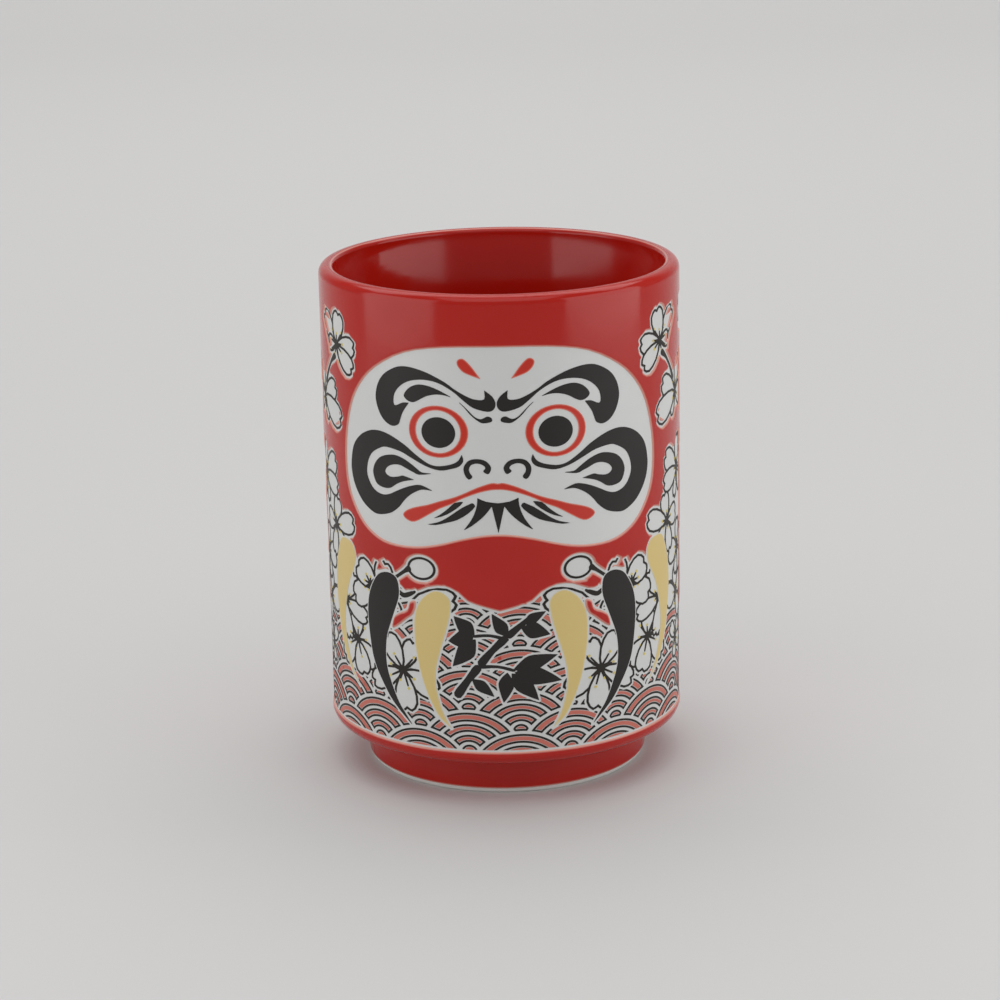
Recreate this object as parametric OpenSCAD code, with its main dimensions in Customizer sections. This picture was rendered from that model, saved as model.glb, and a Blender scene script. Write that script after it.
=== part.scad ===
// A straight-sided porcelain tea cup, dipped in red glaze over a printed
// daruma face, with robe folds, blossom sprays, wave scales and brushed bamboo.
//
// Origin: centre of the foot, on the table. Z is up and the face looks along -Y.
// Everything printed is drawn flat, as [arc, height]: arc is the distance round
// the wall from the middle of the face, positive towards +X. It is then wrapped
// onto the wall as a thin pad.

/* [Cup] */
// Outside diameter of the glazed wall
cup_d = 70; // [68:0.5:76]
// Height from the table to the top of the lip
cup_h = 100; // [98:1:110]
// Thickness of the porcelain wall, without its glaze
wall = 2.2; // [2.2:0.1:3.5]
// Height of the cup's floor above the table, on top of the glaze
floor_h = 12; // [11:0.5:16]
// Radius of the curve between floor and wall inside
floor_fillet = 9; // [4:0.5:14]

/* [Foot] */
// Outside diameter of the foot ring, with its glaze
foot_d = 55.7; // [46:0.2:58]
// Height of the foot ring
foot_h = 8.1; // [6:0.1:8.3]
// Width of the foot ring where it stands
foot_wall = 3; // [2:0.2:5]
// Height at which the red glaze was wiped off the foot
bare_h = 1; // [0.4:0.1:3]

/* [Glaze] */
// Thickness of the red glaze outside
coat = 0.4; // [0.3:0.05:0.6]
// Thickness of the red glaze inside
lining = 0.3; // [0.2:0.05:0.4]
// Thickness of the clear glaze under the foot
base_coat = 0.2; // [0.1:0.05:0.4]

/* [Print] */
// Thickness of the white printed ground
ground = 0.1; // [0.05:0.01:0.15]
// Thickness of the coloured inks on the ground
ink = 0.05; // [0.02:0.01:0.1]
// Width of the drawn black lines
line_w = 0.4; // [0.25:0.05:0.6]
// White margin left between a printed shape and what is behind it
margin = 0.55; // [0.3:0.05:0.8]

/* [Waves] */
// Number of wave scales in one row round the cup
wave_count = 11; // [9:1:13]
// Height from one row of wave scales to the next
wave_rise = 4.25; // [3.8:0.05:5]
// Arc of the first wave scale from the middle of the face
wave_start = 3.6; // [-10:0.1:10]

/* [Hidden] */
$fn = 96;

PORCELAIN = [0.93, 0.92, 0.89];
RED = [0.70, 0.13, 0.11];
BLACK = [0.17, 0.16, 0.15];
YELLOW = [0.85, 0.73, 0.42];
WHITE = [0.86, 0.86, 0.85];
WAVE_RED = [0.72, 0.35, 0.32];

cup_r = cup_d / 2;
wall_r = cup_r - coat;         // outside of the bare porcelain
ground_r = wall_r + ground;    // top of the white ground
ink_r = ground_r + ink;        // top of the inks
bore_r = wall_r - wall - lining;
foot_r = foot_d / 2;
around = PI * cup_d;           // length once round the wall
degrees_per_mm = 360 / around;

// Wall corner, lip and fillet radii and centres, shared by the porcelain and its coats
corner_r = 2;
lip_out_r = 1.7;
lip_in_r = 0.9;
foot_fillet_r = 0.8;
corner = [cup_r - corner_r, 10.4];
lip_out = [cup_r - lip_out_r, cup_h - lip_out_r];
lip_in = [bore_r + lip_in_r, cup_h - lip_in_r];
foot_fillet = [foot_r + foot_fillet_r, foot_h - foot_fillet_r];
floor_centre = [bore_r - floor_fillet, floor_h + floor_fillet];
lip_seam_r = (lip_out.x + lip_in.x) / 2;

// ---------------------------------------------------------------- curves

// Points on an arc from angle a to angle b
function arc(centre, r, a, b, n = 8) =
    [for (i = [0:n]) centre + r * [cos(a + (b - a) * i / n), sin(a + (b - a) * i / n)]];

// A point between b and c on the smooth curve that runs through a, b, c, d
function bend(a, b, c, d, t) =
    b + 0.5 * t * (c - a + t * (2 * a - 5 * b + 4 * c - d + t * (3 * (b - c) + d - a)));

// A smooth closed curve through the points
function loop(p, n = 4) = let (m = len(p))
    [for (i = [0:m - 1], s = [0:n - 1])
        bend(p[(i + m - 1) % m], p[i], p[(i + 1) % m], p[(i + 2) % m], s / n)];

// A smooth open curve through the points, without its last point
function curve(p, n = 4) = let (e = len(p) - 1)
    [for (i = [0:e - 1], s = [0:n - 1])
        bend(p[max(i - 1, 0)], p[i], p[i + 1], p[min(i + 2, e)], s / n)];

// A closed outline of smooth curves that meet at sharp corners
function outline(curves, n = 4) = [for (c = curves) each curve(c, n)];

// The same half outline, continued on the other side of arc 0
function both_sides(half) =
    concat(half, [for (i = [len(half) - 2:-1:1]) [-half[i].x, half[i].y]]);

// An oval, and the outline of a pointed brush leaf from root to tip
function oval(c, r, n = 36) =
    [for (i = [0:n - 1]) c + [r.x * cos(i * 360 / n), r.y * sin(i * 360 / n)]];
function leaf(root, tip, half) = let (d = tip - root, s = [-d.y, d.x] / norm(d) * half)
    outline([[root, root + 0.15 * d + 0.5 * s, root + 0.4 * d + s, root + 0.75 * d + 0.55 * s, tip],
        [tip, root + 0.75 * d - 0.45 * s, root + 0.4 * d - 0.9 * s, root + 0.15 * d - 0.5 * s, root]], 3);

// A blossom petal with a notched end, from the flower's centre to its tip
function petal(root, tip, half) = let (d = tip - root, s = [-d.y, d.x] / norm(d) * half)
    loop([root + 0.04 * d, root + 0.45 * d + 0.85 * s, root + 0.85 * d + 0.9 * s,
        root + d + 0.3 * s, root + 0.93 * d, root + d - 0.4 * s, root + 0.82 * d - 0.9 * s,
        root + 0.42 * d - 0.8 * s], 2);

// A stroke that follows its points, with a width at each of them
function stroke(p, w) = let (e = len(p) - 1,
    side = [for (i = [0:e]) let (d = p[min(i + 1, e)] - p[max(i - 1, 0)]) [-d.y, d.x] / norm(d) * w[i] / 2])
    loop(concat([for (i = [0:e]) p[i] + side[i]], [for (i = [e:-1:0]) p[i] - side[i]]), 3);

// ---------------------------------------------------------------- wrapping

// The shortest way round the wall from arc 0
function wrapped(x) = x - around * round(x / around);

// Arc and height, flattened onto the plane that touches the wall at arc `at`
function flat(points, at = 0, side = 1) =
    let (shift = wrapped(side * points[0].x - at) - side * points[0].x)
    [for (p = points) [ground_r * sin((side * p.x + shift) * degrees_per_mm), p.y]];

// Does the outline come near enough to arc `at` to be drawn on its plane?
function near(points, at, side) = min([for (p = points) abs(wrapped(side * p.x - at))]) < 24;

module tube(r0, r1) {
    difference() {
        translate([0, 0, 5]) cylinder(r = r1, h = 92);
        translate([0, 0, 4]) cylinder(r = r0, h = 94);
    }
}

// Pushes a flat drawing out from the cup's axis, towards arc `at`
module block(at = 0) {
    rotate([90, 0, at * degrees_per_mm]) translate([0, 0, cup_r / 2]) linear_extrude(cup_r) children();
}

// Leaves a flat drawing as a pad on the wall, between two radii
module pad(r0 = ground_r, r1 = ink_r, at = 0) {
    intersection() {
        block(at) children();
        tube(r0, r1);
    }
}

// One printed shape on the right of the face, or its mirror image on the left
module printed(points, side = 1, at = 0, r0 = ground_r, r1 = ink_r) {
    mirror([side < 0 ? 1 : 0, 0, 0]) pad(r0, r1, at) polygon(flat(points, at));
}

// ---------------------------------------------------------------- drawing

FACE = loop(both_sides([[0, 90.4], [10, 90.1], [18, 88.6], [25, 85], [29.5, 81], [32.5, 76.5],
    [34.3, 71], [34.9, 66], [34.5, 61.5], [33, 58], [30, 54.5], [26.5, 52.3], [22.5, 51.2],
    [17, 51.2], [12, 52.1], [7, 53.5], [3, 54.3], [0, 54.5]]), 3);

BROW_SWEEP = outline([
    [[2.2, 82.3], [0.8, 81.2], [0.1, 79.9], [0.4, 78.7], [1.6, 78.2], [4.3, 78.9], [6.1, 80.2],
        [8.3, 82], [11.1, 83.4], [13.9, 83.8], [16.7, 83.4], [18.9, 82.3], [20.4, 80.6],
        [20.7, 78.8], [20.2, 78.3], [18.6, 79], [17.2, 79.1]],
    [[17.2, 79.1], [18.6, 77.2], [19.2, 75.8], [19.7, 74.7], [21.1, 74.2], [22.8, 74.8],
        [24.2, 76.3], [25, 78.3], [25.1, 79.9], [24.5, 81.9], [23.3, 83.6], [21.7, 84.8],
        [19.5, 85.8], [17.2, 86], [14.7, 85.6], [12.5, 84.9], [9.7, 83.6], [7.8, 82.3],
        [5.6, 81.1], [3.9, 80.5], [2.2, 80.6], [2.2, 82.3]]], 3);
BROW_COMMA = loop([[17.6, 79.6], [18.3, 80.5], [17.2, 81.9], [15.6, 82.7], [13.9, 82.8], [12, 82.4],
    [10, 81.6], [8.1, 80.6], [6.7, 79.7], [5.3, 78.4], [4.2, 77.3], [3.2, 76.8], [2.5, 76.9],
    [1.7, 77.3], [0.9, 77], [0.9, 76.3], [2.5, 76], [3.6, 76.5], [4.9, 77.6], [6.1, 79],
    [7.5, 80.2], [8.9, 80.9], [10.8, 81.2], [12.5, 81], [13.9, 80.5], [15.3, 79.7], [16.4, 79.3]], 3);
FOREHEAD_MARK = outline([[[2.8, 84.4], [4.3, 84.9], [6, 85.6], [7, 86.6], [7.3, 87.5], [6.9, 88.1],
    [6.1, 88.2], [5.3, 87.6], [4.4, 86.6], [3.6, 85.5], [2.8, 84.4]]], 3);
EYE = [11.35, 74.05];
PUPIL = oval([11.25, 73.9], [3.4, 2.95]);
NOSTRIL = stroke([[5.1, 65.4], [5.75, 66.3], [5.85, 67.4], [5.1, 68.4], [3.7, 68.7], [2.35, 68.3],
    [1.7, 67.4], [2.2, 66.5]], [0.9, 1.05, 1.05, 0.95, 0.85, 0.95, 1.1, 1.1]);

CHEEK_OUTER = outline([
    [[6.7, 69.9], [6.4, 68.7], [7.2, 67.6], [8.9, 67], [11.1, 66.6], [13.9, 67.2], [17.2, 68.6],
        [19.5, 69.5], [22.8, 69.9], [24.5, 69.4], [26.4, 68.3], [27.5, 66.9], [28.1, 65.2],
        [28.1, 63.6], [27.2, 61.9], [25.8, 60.8], [23.9, 60.4], [22.2, 60.8], [20.6, 61.6],
        [18.9, 62.4], [17, 63.1], [15, 63.4], [12.5, 62.5]],
    [[12.5, 62.5], [14.5, 62.6], [15.8, 62.2], [17.5, 61.2], [18.9, 59.9], [20, 58.6],
        [21.7, 57.3], [23.6, 56.6], [25.8, 56.3], [27.8, 56.9], [29.7, 58], [31.4, 59.7],
        [32.6, 61.6], [33.2, 63.8], [33.1, 65.8], [32.5, 68], [31.4, 69.7], [29.5, 71.3],
        [27.2, 72.4], [25, 72.8], [22.8, 72.6], [20.6, 71.9], [18.3, 70.8], [16.7, 69.7],
        [15, 68.6], [13.3, 67.7], [11.7, 67.4], [10, 67.6], [8.3, 68.1], [7.3, 68.8], [6.7, 69.9]]], 3);
CHEEK_INNER = outline([
    [[12.4, 65.9], [14.7, 65.9], [15.8, 66.5], [17.2, 67.4], [18.9, 68.2], [20.8, 68.6],
        [22.8, 68.3], [24.5, 67.6], [25.8, 66.3], [26.4, 64.7], [26.1, 63.3], [25.3, 62.2],
        [23.6, 61.8], [22, 62], [20.6, 62.9], [18.9, 63.7], [16.5, 64.3]],
    [[16.5, 64.3], [18.9, 64.8], [20, 64.5], [21.7, 64.2], [22.8, 64.5], [23.2, 65.2],
        [22.5, 66.1], [21.1, 66.7], [19.5, 66.8], [18.1, 66.3], [16.7, 65.8], [15.3, 65.4],
        [12.4, 65.9]]], 3);

MOUTH = loop(both_sides([[0, 64.4], [1.2, 64.5], [3.9, 63.6], [6.9, 62.2], [8.9, 61.4], [11.4, 60.6],
    [13.9, 59.7], [16.4, 59], [18.3, 58.2], [19.2, 57.2], [18.3, 56.3], [16.6, 56.1], [13.9, 57.6],
    [11.4, 59.1], [8.9, 60.2], [6.9, 61.3], [3.9, 62.5], [1.5, 63.1], [0, 63.2]]), 3);
// The hairs that hang from the lip: middle tuft, then two loose ones on each side
MOUSTACHE_TUFT = both_sides(concat(outline([[[0, 60.6], [2.2, 60.9], [3.9, 61.6]],
    [[3.9, 61.6], [4, 60.2], [4.6, 58.3], [5.6, 56.6], [6.7, 55.2]],
    [[6.7, 55.2], [5.1, 56.1], [3.1, 57.7], [1.9, 59], [1.2, 60]],
    [[1.2, 60], [0.6, 57.4], [0, 54.7]]], 2), [[0, 54.7]]));
MOUSTACHE_HAIRS = [
    outline([[[4.9, 60.6], [6.7, 59.7], [8.3, 58.6], [10, 57.4], [11.7, 56.5], [13.9, 55.9]],
        [[13.9, 55.9], [12.2, 55.9], [10, 56.5], [7.8, 57.2], [5.6, 58.6], [4.3, 60], [4.9, 60.6]]], 2),
    outline([[[6.6, 60.8], [8.3, 60.5], [9.5, 59.4], [11.1, 58.1], [12.6, 57.2]],
        [[12.6, 57.2], [10.8, 57.7], [8.9, 58.7], [7.2, 60], [6.6, 60.8]]], 2)];

FOLD_INNER = outline([[[9.9, 15.6], [12.2, 17.5], [13.6, 19.8], [14.7, 22], [15.8, 25], [16.6, 28.3],
    [17.2, 32], [17.3, 34.8], [17.2, 37], [16.5, 39.4], [15.1, 41.4], [12.9, 42.8], [10.9, 42.5],
    [9.6, 40.9], [9.9, 37.8], [10.8, 34.5], [11.9, 31], [12.8, 27.5], [13, 24.5], [12.6, 22],
    [11.9, 19.5], [10.9, 17.2], [9.9, 15.6]]], 3);
FOLD_MIDDLE = outline([[[18.2, 15.1], [21.3, 17.8], [23.4, 19.9], [25.3, 22.5], [26.9, 25],
    [28, 27.5], [28.7, 31], [29.1, 34.5], [29.1, 37], [28.7, 39.5], [27.6, 42], [25.8, 44.3],
    [23.4, 45.1], [21.3, 44.4], [20.7, 42.3], [20.9, 40.3], [21.9, 37.7], [23, 35], [24, 32.3],
    [24.4, 29.3], [24.2, 26], [23.1, 22.8], [21.4, 19.3], [19.8, 17.2], [18.2, 15.1]]], 3);
FOLD_OUTER = outline([[[32.7, 20], [35.1, 22], [37.4, 24.5], [39, 27], [40.4, 30], [41.1, 33],
    [41.8, 36], [42, 39.7], [41.5, 43], [40.4, 45.8], [38.9, 48.4], [36.8, 49.1], [34, 48.6],
    [32.9, 46.6], [33.5, 44], [35.7, 40.3], [37.2, 36.4], [37.9, 32.7], [37.8, 30], [37.3, 27.8],
    [36.2, 25], [34.9, 22.5], [32.7, 20]]], 3);
FOLDS = [FOLD_INNER, FOLD_MIDDLE, FOLD_OUTER];

// Blossoms, back to front: the flower's centre, then each petal's tip and half width
BLOSSOMS = [
    [[48.5, 59.5], [[[49.5, 66.2], 2.5], [[54.6, 60.6], 2.4], [[53, 55], 2.3], [[46, 54.2], 1.6],
        [[40.3, 63.8], 2.5], [[39.6, 58.2], 2.3]]],
    [[47, 34.6], [[[46.8, 40.2], 2.3], [[52.6, 36.6], 2.4], [[50.8, 29.4], 2.3], [[41.2, 35.4], 2.9]]],
    [[48.5, 43.5], [[[49.5, 49.2], 2.3], [[54.4, 45.4], 2.4], [[52.4, 38.8], 2.3],
        [[47, 38.2], 1.8], [[41.9, 43.9], 2.7]]],
    [[41.2, 50.8], [[[36.6, 45.8], 2], [[42.8, 44.4], 2], [[47.2, 51.2], 2.3], [[39.9, 56.4], 2.2],
        [[33.1, 52.8], 2.3]]],
    [[46.6, 25.4], [[[43.2, 28.8], 1.6], [[50.2, 28.4], 1.7], [[51, 23.6], 1.7], [[45.6, 21.4], 1.6]]],
    [[20.1, 26.1], [[[28.2, 22.2], 2.3], [[12.6, 22.6], 2.5], [[17.6, 32.2], 2], [[24.2, 32.6], 2.4],
        [[19.4, 18], 2.7]]],
    [[32.9, 29.6], [[[27.2, 25.4], 2.4], [[38.6, 24.4], 2.5], [[33.4, 34.8], 2.4],
        [[31, 22.8], 2.7]]],
    [[37.6, 36.4], [[[33.4, 42.6], 2.3], [[35.9, 28.8], 1.8], [[29.4, 34.4], 2]]],
    [[26.2, 41.4], [[[20.6, 37.2], 1.7], [[23.8, 47], 2.4], [[33.7, 38.2], 2.8], [[32.2, 45], 2.8]]],
    [[17.8, 40.6], [[[8.4, 41.2], 2.5]]],
    [[47, 75.4], [[[53.4, 73.4], 2.4], [[50.6, 82.2], 2.7], [[43.6, 71.4], 1.6], [[39, 78.6], 2.3],
        [[36.8, 72.3], 2.7]]],
    [[38.3, 87], [[[44.4, 92.3], 2.4], [[36.8, 93.5], 2.5], [[42.2, 87], 1.7],
        [[31.1, 87.6], 2.1], [[32, 83], 2.1]]]];
BUD = oval([15.45, 47], [2.8, 2.05]);
PETALS = concat([BUD], [for (f = BLOSSOMS, q = f[1]) petal(f[0], q[0], q[1])]);
// Flowers whose stamens show, with their spread
STAMENS = [[[20.1, 26.1], 3.4], [[32.9, 29.6], 3.2], [[36.7, 36.7], 1.4], [[41.2, 50.8], 2.6],
    [[47, 75.4], 2.6], [[38, 87.2], 3], [[48.5, 59.5], 2.8], [[48.5, 43.5], 2.6], [[28.2, 41.8], 2],
    [[46.6, 25.4], 1.8], [[47, 34.6], 2.2]];
TWIGS = [stroke([[18, 46.8], [19.2, 46], [20.6, 45], [22, 44]], [1.1, 0.7, 0.6, 0.6]),
    stroke([[17, 42.2], [18.6, 41.4], [19.8, 41.2], [21.2, 42.2]], [0.5, 0.9, 0.9, 0.5]),
    stroke([[38.9, 84.8], [41, 83.3], [43.2, 81], [45.2, 78.4]], [1.2, 0.6, 0.6, 0.9]),
    stroke([[50.6, 71.6], [52, 69], [52.2, 66.5], [51, 64]], [0.5, 0.6, 0.6, 0.5]),
    stroke([[41, 38.4], [44, 37.2], [46.5, 35.6]], [0.5, 0.5, 0.6])];

// Brushed bamboo below the face: canes, then leaves as root, tip and half width
BAMBOO_CANES = [stroke([[-8.6, 22.4], [-6.4, 25.6], [-4.4, 28.2]], [1.6, 1.3, 1.5]),
    stroke([[-3.9, 28.9], [-1.6, 31.6], [0.9, 34]], [1.5, 1.2, 1.4]),
    stroke([[1.5, 34.5], [4, 36.6], [6.6, 38.6]], [1.3, 1, 0.7]),
    stroke([[-4, 28.3], [-0.6, 28.4], [2.4, 27.6]], [0.6, 0.5, 0.5]),
    stroke([[1.2, 33.8], [-2, 34.6], [-5, 34.4]], [0.6, 0.5, 0.5])];
BAMBOO_LEAVES = [[[2.4, 27.8], [11, 30.2], 1.7], [[2.6, 27.2], [11.8, 25], 1.9],
    [[2, 27], [7.2, 21.4], 1.8], [[1.2, 27.2], [0.4, 21.2], 1.6], [[-5, 34.6], [-9, 38.2], 1.6],
    [[-5.2, 34.2], [-10.2, 33.2], 1.9], [[-4.8, 33.8], [-9.4, 28.2], 1.9],
    [[1.4, 34.4], [-1.6, 38.9], 1.4], [[4, 36], [9.6, 34.4], 1.7], [[4.4, 36.8], [8.8, 39], 1.1],
    [[-5.6, 25.8], [-1.4, 22.4], 1.2]];
BAMBOO = concat(BAMBOO_CANES, [for (f = BAMBOO_LEAVES) leaf(f[0], f[1], f[2])]);

// Bamboo on the back, drawn about the middle of the back
BACK_CANES = [stroke([[-3.4, 44], [-3, 52], [-2.6, 58]], [2.4, 2, 2.3]),
    stroke([[-2.5, 58.9], [-1.8, 67], [-1, 73]], [2.3, 1.9, 2.2]),
    stroke([[-0.9, 73.9], [0.4, 81], [1.8, 87]], [2.1, 1.6, 1.3]),
    stroke([[-2.4, 58.6], [4, 63.6], [11, 67.4]], [0.8, 0.7, 0.6]),
    stroke([[-1, 73.4], [-8, 78.4], [-15, 81]], [0.8, 0.7, 0.6]),
    stroke([[0.4, 80], [8, 84.4], [14, 86.2]], [0.7, 0.6, 0.5])];
BACK_LEAVES = [[[11, 67.4], [22, 70.4], 2.2], [[11, 67.2], [21, 63], 2.4], [[10, 66.8], [14, 56.6], 2.3],
    [[4, 63.6], [5.6, 53], 2.1], [[-15, 81], [-26, 84.8], 2.1], [[-15, 80.8], [-26.6, 77], 2.4],
    [[-14, 80.6], [-19.6, 70.4], 2.4], [[-8, 78.4], [-9.6, 67.6], 2.2], [[14, 86.2], [24, 89], 1.9],
    [[14, 86], [24, 82], 2.1], [[8, 84.4], [12, 76], 2], [[1.8, 87], [-4.4, 91.4], 1.7]];
BACK = concat(BACK_CANES, [for (f = BACK_LEAVES) leaf(f[0], f[1], f[2])]);
// A few leaves that reach round to the side of the cup
SIDE_LEAVES = [for (f = [[[61, 90.4], [50.8, 91.8], 1.5], [[61, 89.6], [51.4, 88], 1.5],
    [[61.6, 89], [57, 84.8], 1.4]]) leaf(f[0], f[1], f[2])];

// Upper edge of the robe's white ground on one side, in four panels from front to back
ROBE_EDGES = [
    [[0, 39.4], [3, 40.2], [6.2, 41.3], [8, 42.9], [11, 44.1], [14.2, 43.9], [17.6, 42.5],
        [19.6, 42.6], [19.8, 43.6], [18.2, 44.3], [14.4, 44.4], [12.4, 45.8], [11.9, 47.4],
        [13.3, 49.3], [16, 49.9], [18.6, 48.8], [21, 47.2], [24, 47.7]],
    [[24, 47.8], [26, 46.9], [28.8, 47.6], [32, 47.5], [33, 49.2], [31.9, 51.4], [31.9, 53.6],
        [34.2, 55.4], [37.8, 55.4], [38.6, 57.2], [38.8, 60.6], [39.2, 64.4], [41.2, 66.1],
        [45, 66.2], [49, 67.4], [52, 67.4]],
    [[52, 67.5], [54.8, 64.6], [56.4, 60.6], [55.4, 53], [56.4, 47.4], [55, 38.6], [54.6, 33.6],
        [56, 29.4], [60, 27.2], [66, 27.6], [74, 26.2], [81, 27]],
    [[81, 27.1], [92, 26.2], [101, 27.6], [around / 2, 26.4]]];
SPRAY_EDGE = loop([[30.2, 88.4], [30.6, 86.4], [31, 82.6], [33.2, 81.2], [37, 82.4], [40.4, 82.2],
    [38.4, 80.2], [38, 77.4], [36.2, 75], [35.6, 72.2], [38.2, 70], [42, 69.2], [47, 70.2],
    [51.6, 70.4], [54.6, 72.4], [54, 76], [51.8, 79.4], [52.6, 82], [50.4, 83.4], [47.4, 81.8],
    [44.4, 81.8], [41.6, 84.8], [43.6, 88.4], [46, 91.4], [44.6, 93.6], [40.8, 93.2], [37, 94.4],
    [34, 92.4], [32.8, 90.2]], 3);
BACK_EDGE = loop([[-2.4, 92.6], [-8, 91.8], [-18, 87.6], [-28.6, 85.4], [-29.2, 77], [-22.4, 70],
    [-14, 65.4], [-6.6, 63], [-5.8, 52], [-5.2, 42.8], [-0.4, 42.8], [3.6, 51.4], [9, 54.4],
    [15.4, 55.4], [20.4, 60.4], [24.4, 66], [23.4, 71.6], [18, 74.6], [18.8, 78.6], [26, 80.6],
    [27.4, 88.6], [18, 90.8], [8, 88.8], [3, 90.6]], 3);
SIDE_LEAF_EDGE = loop([[49.6, 92.8], [50, 86.8], [54, 86.2], [56, 84], [58.6, 83.8], [62.4, 86.4],
    [63.8, 89.4], [61, 92.4], [55, 93.3]], 4);
// Red glaze that shows between two robe folds
RED_GAP = loop([[17, 40.4], [18.2, 40], [18.8, 38.4], [20.6, 37.5], [22, 36.4], [22.5, 34.2],
    [21, 34.9], [18.9, 36.6], [17.6, 37.6], [16.9, 39.2]], 3);

// Arcs about which the off-centre drawings are flattened
spray_middle = 44;
gap_middle = 18;
side_leaf_middle = 56;
bloom_middle = 33;
brow_middle = 12;
mark_middle = 5;
nostril_middle = 4;
scroll_middle = 20;
hair_middle = 8;
FOLD_MIDDLES = [13, 24, 38];

// ---------------------------------------------------------------- cup

// Outside of the cup from the foot to the top of the lip, t inside the glazed surface
function outer_profile(t, bottom) = concat([[foot_r - t, bottom]],
    arc(foot_fillet, foot_fillet_r + t, 180, 90, 4),
    arc(corner, corner_r - t, -90, 0, 6),
    arc(lip_out, lip_out_r - t, 0, 90, 8));
// Inside of the cup from the lip to the middle of the floor, t under the glazed surface
function inner_profile(t) = concat(arc(lip_in - [0, (coat - lining) * t / lining],
        lip_in_r - t, 90, 180, 6),
    arc(floor_centre, floor_fillet + t, 0, -90, 10), [[0, floor_h - t]]);

// Underside of the cup inside the foot ring
recess_r = foot_r - coat - foot_wall;
recess_h = 6.5;
recess_fillet_r = 1.4;
base_glaze_end = 1.5;   // height where the clear glaze stops on the foot's inner side
foot_edge = 0.5;        // height of the softened edges of the standing face
function recess_profile(t) = concat([[0, recess_h - t]],
    arc([recess_r, recess_h] - [1, 1] * recess_fillet_r, recess_fillet_r - t, 90, 0, 4));

module porcelain_body() {
    color(PORCELAIN) rotate_extrude() polygon(concat(recess_profile(0),
        [[recess_r, foot_edge], [recess_r + 0.4, 0], [foot_r - coat - foot_edge, 0]],
        outer_profile(coat, foot_edge), inner_profile(lining)));
}

module inner_glaze() {
    bare = inner_profile(lining);
    color(RED) rotate_extrude() polygon(concat([[lip_seam_r, cup_h], [lip_seam_r, cup_h - coat]],
        bare, [for (i = [len(bare) - 1:-1:0]) inner_profile(0)[i]]));
}

module coat_shell() {
    bare = outer_profile(coat, bare_h);
    rotate_extrude() polygon(concat(outer_profile(0, bare_h), [[lip_seam_r, cup_h],
        [lip_seam_r, cup_h - coat]], [for (i = [len(bare) - 1:-1:0]) bare[i]]));
}

module outer_glaze() {
    color(RED) {
        difference() {
            coat_shell();
            block() polygon(flat(FACE));
            robe_blocks();
            for (side = [-1, 1]) mirror([side < 0 ? 1 : 0, 0, 0])
                block(spray_middle) polygon(flat(SPRAY_EDGE, spray_middle));
            block(around / 2) polygon(flat(BACK_EDGE));
            block(side_leaf_middle) polygon(flat(SIDE_LEAF_EDGE, side_leaf_middle));
        }
        for (side = [-1, 1]) printed(RED_GAP, side, gap_middle, wall_r, cup_r);
    }
}

module base_glaze() {
    clear = recess_profile(base_coat);
    color(WHITE) rotate_extrude() polygon(concat(recess_profile(0),
        [[recess_r, base_glaze_end], [recess_r - base_coat, base_glaze_end]],
        [for (i = [len(clear) - 1:-1:0]) clear[i]]));
}

// ---------------------------------------------------------------- white grounds

robe_bottom = 11.15;
flange = [1.5, -2.4];   // how far a panel reaches into the next one, and how far it falls there

// One panel of the robe's ground: its upper edge, a flange past its end, and its foot.
// Each panel is longer than the robe at the bottom by its own amount, and they are cut together.
function panel_foot(i) = robe_bottom - 1 - i;
function panel(i) = let (edge = ROBE_EDGES[i], last = edge[len(edge) - 1], end = last + flange)
    concat(curve(edge, 2), [last, end, [end.x, panel_foot(i)]]);
function front_panel() = both_sides(concat(panel(0), [[0, panel_foot(0)]]));
function side_panel(i) = let (edge = ROBE_EDGES[i], start = edge[0] + [-flange.x, flange.y])
    concat(panel(i), [[start.x, panel_foot(i)], start]);
PANEL_MIDDLES = [0, 38, 66];   // the front panel first
BACK_HALF = [for (p = curve(ROBE_EDGES[3], 2)) [around / 2 - p.x, p.y]];
back_start = BACK_HALF[0] + flange;
BACK_PANEL = both_sides(concat([[0, panel_foot(3)], [back_start.x, panel_foot(3)], back_start],
    BACK_HALF, [[0, ROBE_EDGES[3][3].y]]));

module robe_blocks() {
    intersection() {
        union() {
            block(PANEL_MIDDLES[0]) polygon(flat(front_panel()));
            for (i = [1, 2], side = [-1, 1]) mirror([side < 0 ? 1 : 0, 0, 0])
                block(PANEL_MIDDLES[i]) polygon(flat(side_panel(i), PANEL_MIDDLES[i]));
            block(around / 2) polygon(flat(BACK_PANEL));
        }
        translate([0, 0, robe_bottom]) cylinder(r = 2 * cup_r, h = cup_h);
    }
}

module face_ground() {
    color(WHITE) printed(FACE, 1, 0, wall_r, ground_r);
}

module robe_ground() {
    color(WHITE) difference() {
        intersection() {
            robe_blocks();
            tube(wall_r, ground_r);
        }
        for (side = [-1, 1]) mirror([side < 0 ? 1 : 0, 0, 0])
            block(gap_middle) polygon(flat(RED_GAP, gap_middle));
    }
}

module spray_ground(side) {
    color(WHITE) printed(SPRAY_EDGE, side, spray_middle, wall_r, ground_r);
}

module back_ground() {
    color(WHITE) {
        pad(wall_r, ground_r, around / 2) polygon(flat(BACK_EDGE));
        printed(SIDE_LEAF_EDGE, 1, side_leaf_middle, wall_r, ground_r);
    }
}

// ---------------------------------------------------------------- face

module brow(side) {
    color(BLACK) {
        printed(BROW_SWEEP, side, brow_middle);
        printed(BROW_COMMA, side, brow_middle);
    }
}

module forehead_mark(side) {
    color(RED) printed(FOREHEAD_MARK, side, mark_middle);
}

EYE_RING_OUTER = [6, 5];
EYE_RING_INNER = [4.5, 4.1];
module eye_ring(side) {
    color(RED) mirror([side < 0 ? 1 : 0, 0, 0]) pad(at = EYE.x) difference() {
        polygon(flat(oval(EYE, EYE_RING_OUTER), EYE.x));
        polygon(flat(oval(EYE, EYE_RING_INNER), EYE.x));
    }
}

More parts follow.
